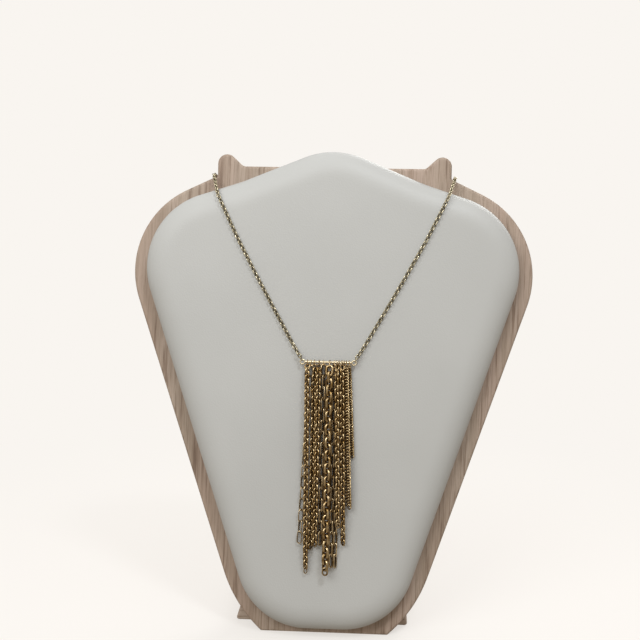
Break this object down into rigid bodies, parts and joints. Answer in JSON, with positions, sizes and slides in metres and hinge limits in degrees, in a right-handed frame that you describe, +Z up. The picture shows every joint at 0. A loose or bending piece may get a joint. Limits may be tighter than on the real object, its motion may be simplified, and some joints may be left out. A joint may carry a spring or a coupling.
{
  "type": "tassel necklace on a neck bust display",
  "caption": "Tassel necklace with a fine chain, a slim bar and a fringe of mixed chains, hung on a wooden neck bust display with a domed pad, ears and a foot.",
  "frame": {"origin": "middle of the face the display rests on, on the table", "axes": "+Z up, -Y towards the viewer in front of the necklace, +X to the viewer's right"},
  "size_m": [0.2152, 0.0917, 0.257],
  "materials": {
    "wood": "satin",
    "leatherette": "matt",
    "gold": "polished"
  },
  "bodies": {
    "root": {"board": "wood", "foot": "wood", "pad": "leatherette", "bar": "gold", "clasp": "gold", "neck_chain_left": "gold", "neck_chain_right": "gold", "strand_1": "gold", "strand_2": "gold", "strand_3": "gold", "strand_4": "gold", "strand_5": "gold", "strand_6": "gold", "strand_7": "gold", "strand_8": "gold", "strand_9": "gold", "strand_10": "gold", "strand_11": "gold", "strand_12": "gold", "strand_13": "gold"}
  },
  "joints": []
}
